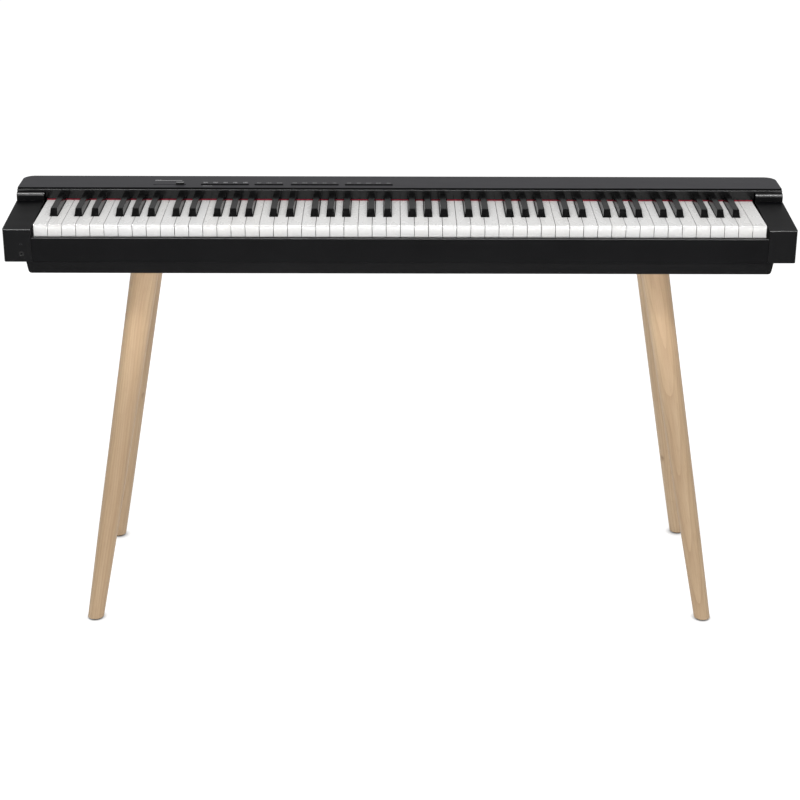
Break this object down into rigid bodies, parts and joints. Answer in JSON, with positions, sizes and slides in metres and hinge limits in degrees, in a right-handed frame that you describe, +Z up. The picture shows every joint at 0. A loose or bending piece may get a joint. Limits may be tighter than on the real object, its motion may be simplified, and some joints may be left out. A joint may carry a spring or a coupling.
{
  "type": "digital piano on stand",
  "caption": "Slim full-size digital piano with weighted-style keys, a slider and button panel, on a splayed wooden leg stand.",
  "frame": {"origin": "on the floor, under the centre of the case", "axes": "+X to the player's right along the keyboard, +Y away from the player, +Z up"},
  "size_m": [1.322, 0.377, 0.7268],
  "materials": {
    "case": "satin moulded plastic",
    "panel": "fine-textured satin plastic",
    "felt": "dense wool felt",
    "white_key": "semi-gloss moulded plastic",
    "black_key": "satin moulded plastic",
    "chassis": "grey coating",
    "board": "solder-masked board",
    "button": "matte",
    "slider": "satin",
    "socket": "satin",
    "speaker": "matte",
    "bracket": "black powder coat",
    "leg_wood": "light oak, matt lacquer",
    "glide": "matte"
  },
  "bodies": {
    "case": {"lower_case": "case", "key_slip": "case", "end_block_left": "case", "end_block_right": "case", "fallboard": "case", "back_panel": "case", "top_panel": "panel", "red_felt": "felt", "key_stop_felt": "felt", "key_chassis": "chassis", "sensor_board": "board", "main_board": "board", "volume_slider_housing": "socket", "headphone_socket": "socket", "pedal_socket": "socket", "power_inlet": "socket", "usb_socket": "socket", "speaker_left": "speaker", "speaker_right": "speaker", "leg_bracket_front_left": "bracket", "leg_bracket_front_right": "bracket", "leg_bracket_rear_left": "bracket", "leg_bracket_rear_right": "bracket", "leg_front_left": "leg_wood", "leg_front_right": "leg_wood", "leg_rear_left": "leg_wood", "leg_rear_right": "leg_wood", "leg_glide_front_left": "glide", "leg_glide_front_right": "glide", "leg_glide_rear_left": "glide", "leg_glide_rear_right": "glide"},
    "white_keys_a0_b1": {"white_keys_a0_b1": "white_key"},
    "black_keys_a0_b1": {"black_keys_a0_b1": "black_key"},
    "white_keys_c2_b2": {"white_keys_c2_b2": "white_key"},
    "black_keys_c2_b2": {"black_keys_c2_b2": "black_key"},
    "white_keys_c3_b3": {"white_keys_c3_b3": "white_key"},
    "black_keys_c3_b3": {"black_keys_c3_b3": "black_key"},
    "white_keys_c5_b5": {"white_keys_c5_b5": "white_key"},
    "black_keys_c5_b5": {"black_keys_c5_b5": "black_key"},
    "white_keys_c6_b6": {"white_keys_c6_b6": "white_key"},
    "black_keys_c6_b6": {"black_keys_c6_b6": "black_key"},
    "white_keys_c7_c8": {"white_keys_c7_c8": "white_key"},
    "black_keys_c7_c8": {"black_keys_c7_c8": "black_key"},
    "white_key_c4": {"white_key_c4": "white_key"},
    "black_key_c_sharp_4": {"black_key_c_sharp_4": "black_key"},
    "white_key_d4": {"white_key_d4": "white_key"},
    "black_key_d_sharp_4": {"black_key_d_sharp_4": "black_key"},
    "white_key_e4": {"white_key_e4": "white_key"},
    "white_key_f4": {"white_key_f4": "white_key"},
    "black_key_f_sharp_4": {"black_key_f_sharp_4": "black_key"},
    "white_key_g4": {"white_key_g4": "white_key"},
    "black_key_g_sharp_4": {"black_key_g_sharp_4": "black_key"},
    "white_key_a4": {"white_key_a4": "white_key"},
    "black_key_a_sharp_4": {"black_key_a_sharp_4": "black_key"},
    "white_key_b4": {"white_key_b4": "white_key"},
    "volume_slider": {"volume_slider_cap": "slider"},
    "button_strip_1": {"button_strip_1": "button"},
    "button_strip_2": {"button_strip_2": "button"},
    "button_strip_3": {"button_strip_3": "button"},
    "button_strip_4": {"button_strip_4": "button"}
  },
  "joints": [
    {"name": "press_white_keys_a0_b1", "type": "hinge", "parent": "case", "child": "white_keys_a0_b1", "pos_m": [-0.5052, 0.1005, 0.682], "axis": [1, 0, 0], "range_deg": [0, 2.8], "stiffness_Nm_per_rad": 9, "springref_deg": -8.59},
    {"name": "press_black_keys_a0_b1", "type": "hinge", "parent": "case", "child": "black_keys_a0_b1", "pos_m": [-0.5052, 0.087, 0.682], "axis": [1, 0, 0], "range_deg": [0, 3.4], "stiffness_Nm_per_rad": 6, "springref_deg": -8.59},
    {"name": "press_white_keys_c2_b2", "type": "hinge", "parent": "case", "child": "white_keys_c2_b2", "pos_m": [-0.3173, 0.1005, 0.682], "axis": [1, 0, 0], "range_deg": [0, 2.8], "stiffness_Nm_per_rad": 7, "springref_deg": -8.59},
    {"name": "press_black_keys_c2_b2", "type": "hinge", "parent": "case", "child": "black_keys_c2_b2", "pos_m": [-0.3173, 0.087, 0.682], "axis": [1, 0, 0], "range_deg": [0, 3.4], "stiffness_Nm_per_rad": 5, "springref_deg": -8.59},
    {"name": "press_white_keys_c3_b3", "type": "hinge", "parent": "case", "child": "white_keys_c3_b3", "pos_m": [-0.1527, 0.1005, 0.682], "axis": [1, 0, 0], "range_deg": [0, 2.8], "stiffness_Nm_per_rad": 7, "springref_deg": -8.59},
    {"name": "press_black_keys_c3_b3", "type": "hinge", "parent": "case", "child": "black_keys_c3_b3", "pos_m": [-0.1527, 0.087, 0.682], "axis": [1, 0, 0], "range_deg": [0, 3.4], "stiffness_Nm_per_rad": 5, "springref_deg": -8.59},
    {"name": "press_white_keys_c5_b5", "type": "hinge", "parent": "case", "child": "white_keys_c5_b5", "pos_m": [0.1763, 0.1005, 0.682], "axis": [1, 0, 0], "range_deg": [0, 2.8], "stiffness_Nm_per_rad": 7, "springref_deg": -8.59},
    {"name": "press_black_keys_c5_b5", "type": "hinge", "parent": "case", "child": "black_keys_c5_b5", "pos_m": [0.1762, 0.087, 0.682], "axis": [1, 0, 0], "range_deg": [0, 3.4], "stiffness_Nm_per_rad": 5, "springref_deg": -8.59},
    {"name": "press_white_keys_c6_b6", "type": "hinge", "parent": "case", "child": "white_keys_c6_b6", "pos_m": [0.3407, 0.1005, 0.682], "axis": [1, 0, 0], "range_deg": [0, 2.8], "stiffness_Nm_per_rad": 7, "springref_deg": -8.59},
    {"name": "press_black_keys_c6_b6", "type": "hinge", "parent": "case", "child": "black_keys_c6_b6", "pos_m": [0.3407, 0.087, 0.682], "axis": [1, 0, 0], "range_deg": [0, 3.4], "stiffness_Nm_per_rad": 5, "springref_deg": -8.59},
    {"name": "press_white_keys_c7_c8", "type": "hinge", "parent": "case", "child": "white_keys_c7_c8", "pos_m": [0.517, 0.1005, 0.682], "axis": [1, 0, 0], "range_deg": [0, 2.8], "stiffness_Nm_per_rad": 8, "springref_deg": -8.59},
    {"name": "press_black_keys_c7_c8", "type": "hinge", "parent": "case", "child": "black_keys_c7_c8", "pos_m": [0.5052, 0.087, 0.682], "axis": [1, 0, 0], "range_deg": [0, 3.4], "stiffness_Nm_per_rad": 5, "springref_deg": -8.59},
    {"name": "press_white_key_c4", "type": "hinge", "parent": "case", "child": "white_key_c4", "pos_m": [-0.0587, 0.1005, 0.682], "axis": [1, 0, 0], "range_deg": [0, 2.8], "stiffness_Nm_per_rad": 1, "springref_deg": -8.59},
    {"name": "press_black_key_c_sharp_4", "type": "hinge", "parent": "case", "child": "black_key_c_sharp_4", "pos_m": [-0.047, 0.087, 0.682], "axis": [1, 0, 0], "range_deg": [0, 3.4], "stiffness_Nm_per_rad": 1, "springref_deg": -8.59},
    {"name": "press_white_key_d4", "type": "hinge", "parent": "case", "child": "white_key_d4", "pos_m": [-0.0353, 0.1005, 0.682], "axis": [1, 0, 0], "range_deg": [0, 2.8], "stiffness_Nm_per_rad": 1, "springref_deg": -8.59},
    {"name": "press_black_key_d_sharp_4", "type": "hinge", "parent": "case", "child": "black_key_d_sharp_4", "pos_m": [-0.0235, 0.087, 0.682], "axis": [1, 0, 0], "range_deg": [0, 3.4], "stiffness_Nm_per_rad": 1, "springref_deg": -8.59},
    {"name": "press_white_key_e4", "type": "hinge", "parent": "case", "child": "white_key_e4", "pos_m": [-0.0118, 0.1005, 0.682], "axis": [1, 0, 0], "range_deg": [0, 2.8], "stiffness_Nm_per_rad": 1, "springref_deg": -8.59},
    {"name": "press_white_key_f4", "type": "hinge", "parent": "case", "child": "white_key_f4", "pos_m": [0.0118, 0.1005, 0.682], "axis": [1, 0, 0], "range_deg": [0, 2.8], "stiffness_Nm_per_rad": 1, "springref_deg": -8.59},
    {"name": "press_black_key_f_sharp_4", "type": "hinge", "parent": "case", "child": "black_key_f_sharp_4", "pos_m": [0.0235, 0.087, 0.682], "axis": [1, 0, 0], "range_deg": [0, 3.4], "stiffness_Nm_per_rad": 1, "springref_deg": -8.59},
    {"name": "press_white_key_g4", "type": "hinge", "parent": "case", "child": "white_key_g4", "pos_m": [0.0353, 0.1005, 0.682], "axis": [1, 0, 0], "range_deg": [0, 2.8], "stiffness_Nm_per_rad": 1, "springref_deg": -8.59},
    {"name": "press_black_key_g_sharp_4", "type": "hinge", "parent": "case", "child": "black_key_g_sharp_4", "pos_m": [0.047, 0.087, 0.682], "axis": [1, 0, 0], "range_deg": [0, 3.4], "stiffness_Nm_per_rad": 1, "springref_deg": -8.59},
    {"name": "press_white_key_a4", "type": "hinge", "parent": "case", "child": "white_key_a4", "pos_m": [0.0587, 0.1005, 0.682], "axis": [1, 0, 0], "range_deg": [0, 2.8], "stiffness_Nm_per_rad": 1, "springref_deg": -8.59},
    {"name": "press_black_key_a_sharp_4", "type": "hinge", "parent": "case", "child": "black_key_a_sharp_4", "pos_m": [0.0705, 0.087, 0.682], "axis": [1, 0, 0], "range_deg": [0, 3.4], "stiffness_Nm_per_rad": 1, "springref_deg": -8.59},
    {"name": "press_white_key_b4", "type": "hinge", "parent": "case", "child": "white_key_b4", "pos_m": [0.0822, 0.1005, 0.682], "axis": [1, 0, 0], "range_deg": [0, 2.8], "stiffness_Nm_per_rad": 1, "springref_deg": -8.59},
    {"name": "press_button_strip_1", "type": "slide", "parent": "case", "child": "button_strip_1", "axis": [0, 0, -1], "range_m": [0, 0.001], "stiffness_N_per_m": 600, "springref_m": -0.001},
    {"name": "press_button_strip_2", "type": "slide", "parent": "case", "child": "button_strip_2", "axis": [0, 0, -1], "range_m": [0, 0.001], "stiffness_N_per_m": 600, "springref_m": -0.001},
    {"name": "press_button_strip_3", "type": "slide", "parent": "case", "child": "button_strip_3", "axis": [0, 0, -1], "range_m": [0, 0.001], "stiffness_N_per_m": 600, "springref_m": -0.001},
    {"name": "press_button_strip_4", "type": "slide", "parent": "case", "child": "button_strip_4", "axis": [0, 0, -1], "range_m": [0, 0.001], "stiffness_N_per_m": 600, "springref_m": -0.001},
    {"name": "slide_volume", "type": "slide", "parent": "case", "child": "volume_slider", "axis": [1, 0, 0], "range_m": [-0.045, 0.008]}
  ]
}
